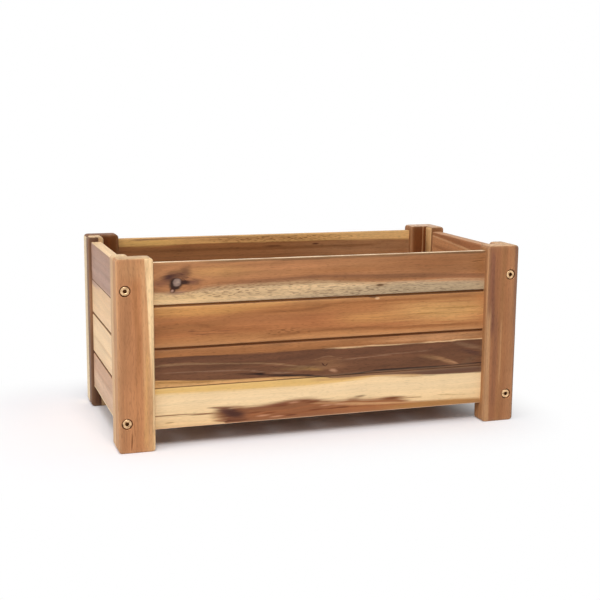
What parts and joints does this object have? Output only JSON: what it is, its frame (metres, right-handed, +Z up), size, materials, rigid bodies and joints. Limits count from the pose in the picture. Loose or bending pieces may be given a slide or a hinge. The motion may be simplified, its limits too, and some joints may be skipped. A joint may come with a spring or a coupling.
{
  "type": "crate planter",
  "caption": "Open-topped wooden crate planter: boarded sides between bolted corner legs, on short feet, with a slatted drain floor that lifts out.",
  "frame": {"origin": "on the ground, at the middle of the footprint", "axes": "+Z up, X along the length with +X to the right as seen from the front, front faces -Y"},
  "size_m": [0.45, 0.23, 0.201],
  "materials": {
    "acacia_brown": "oiled, warm brown heartwood",
    "acacia_red": "oiled, reddish heartwood",
    "acacia_dark": "oiled, dark heartwood",
    "acacia_cream": "oiled, pale sapwood",
    "acacia_mauve": "oiled, greyish heartwood",
    "brass_plate": null,
    "zinc_alloy": "as cast zinc alloy",
    "zinc_plate": "zinc plated steel"
  },
  "bodies": {
    "crate": {"cleat_screws": "zinc_plate", "corner_bolts": "brass_plate", "front_board_1": "acacia_brown", "front_board_2": "acacia_brown", "front_board_3": "acacia_dark", "front_board_4": "acacia_cream", "front_cleat": "acacia_brown", "front_left_leg": "acacia_brown", "front_right_leg": "acacia_red", "insert_nuts": "zinc_alloy", "left_board_1": "acacia_mauve", "left_board_2": "acacia_cream", "left_board_3": "acacia_cream", "left_board_4": "acacia_mauve", "left_front_stile": "acacia_cream", "left_rear_stile": "acacia_dark", "rear_board_1": "acacia_brown", "rear_board_2": "acacia_red", "rear_board_3": "acacia_cream", "rear_board_4": "acacia_brown", "rear_cleat": "acacia_brown", "rear_left_leg": "acacia_red", "rear_right_leg": "acacia_red", "right_board_1": "acacia_red", "right_board_2": "acacia_brown", "right_board_3": "acacia_dark", "right_board_4": "acacia_cream", "right_front_stile": "acacia_red", "right_rear_stile": "acacia_brown"},
    "floor": {"floor_slat_1": "acacia_brown", "floor_slat_2": "acacia_cream", "floor_slat_3": "acacia_red", "floor_slat_4": "acacia_brown", "floor_slat_5": "acacia_cream", "floor_slat_6": "acacia_red", "floor_slat_7": "acacia_brown", "floor_slat_8": "acacia_cream", "floor_front_batten": "acacia_brown", "floor_rear_batten": "acacia_brown", "slat_screws": "zinc_plate"}
  },
  "joints": [
    {"name": "floor_lift", "type": "slide", "parent": "crate", "child": "floor", "axis": [0, 0, 1], "range_m": [0, 0.18]}
  ]
}
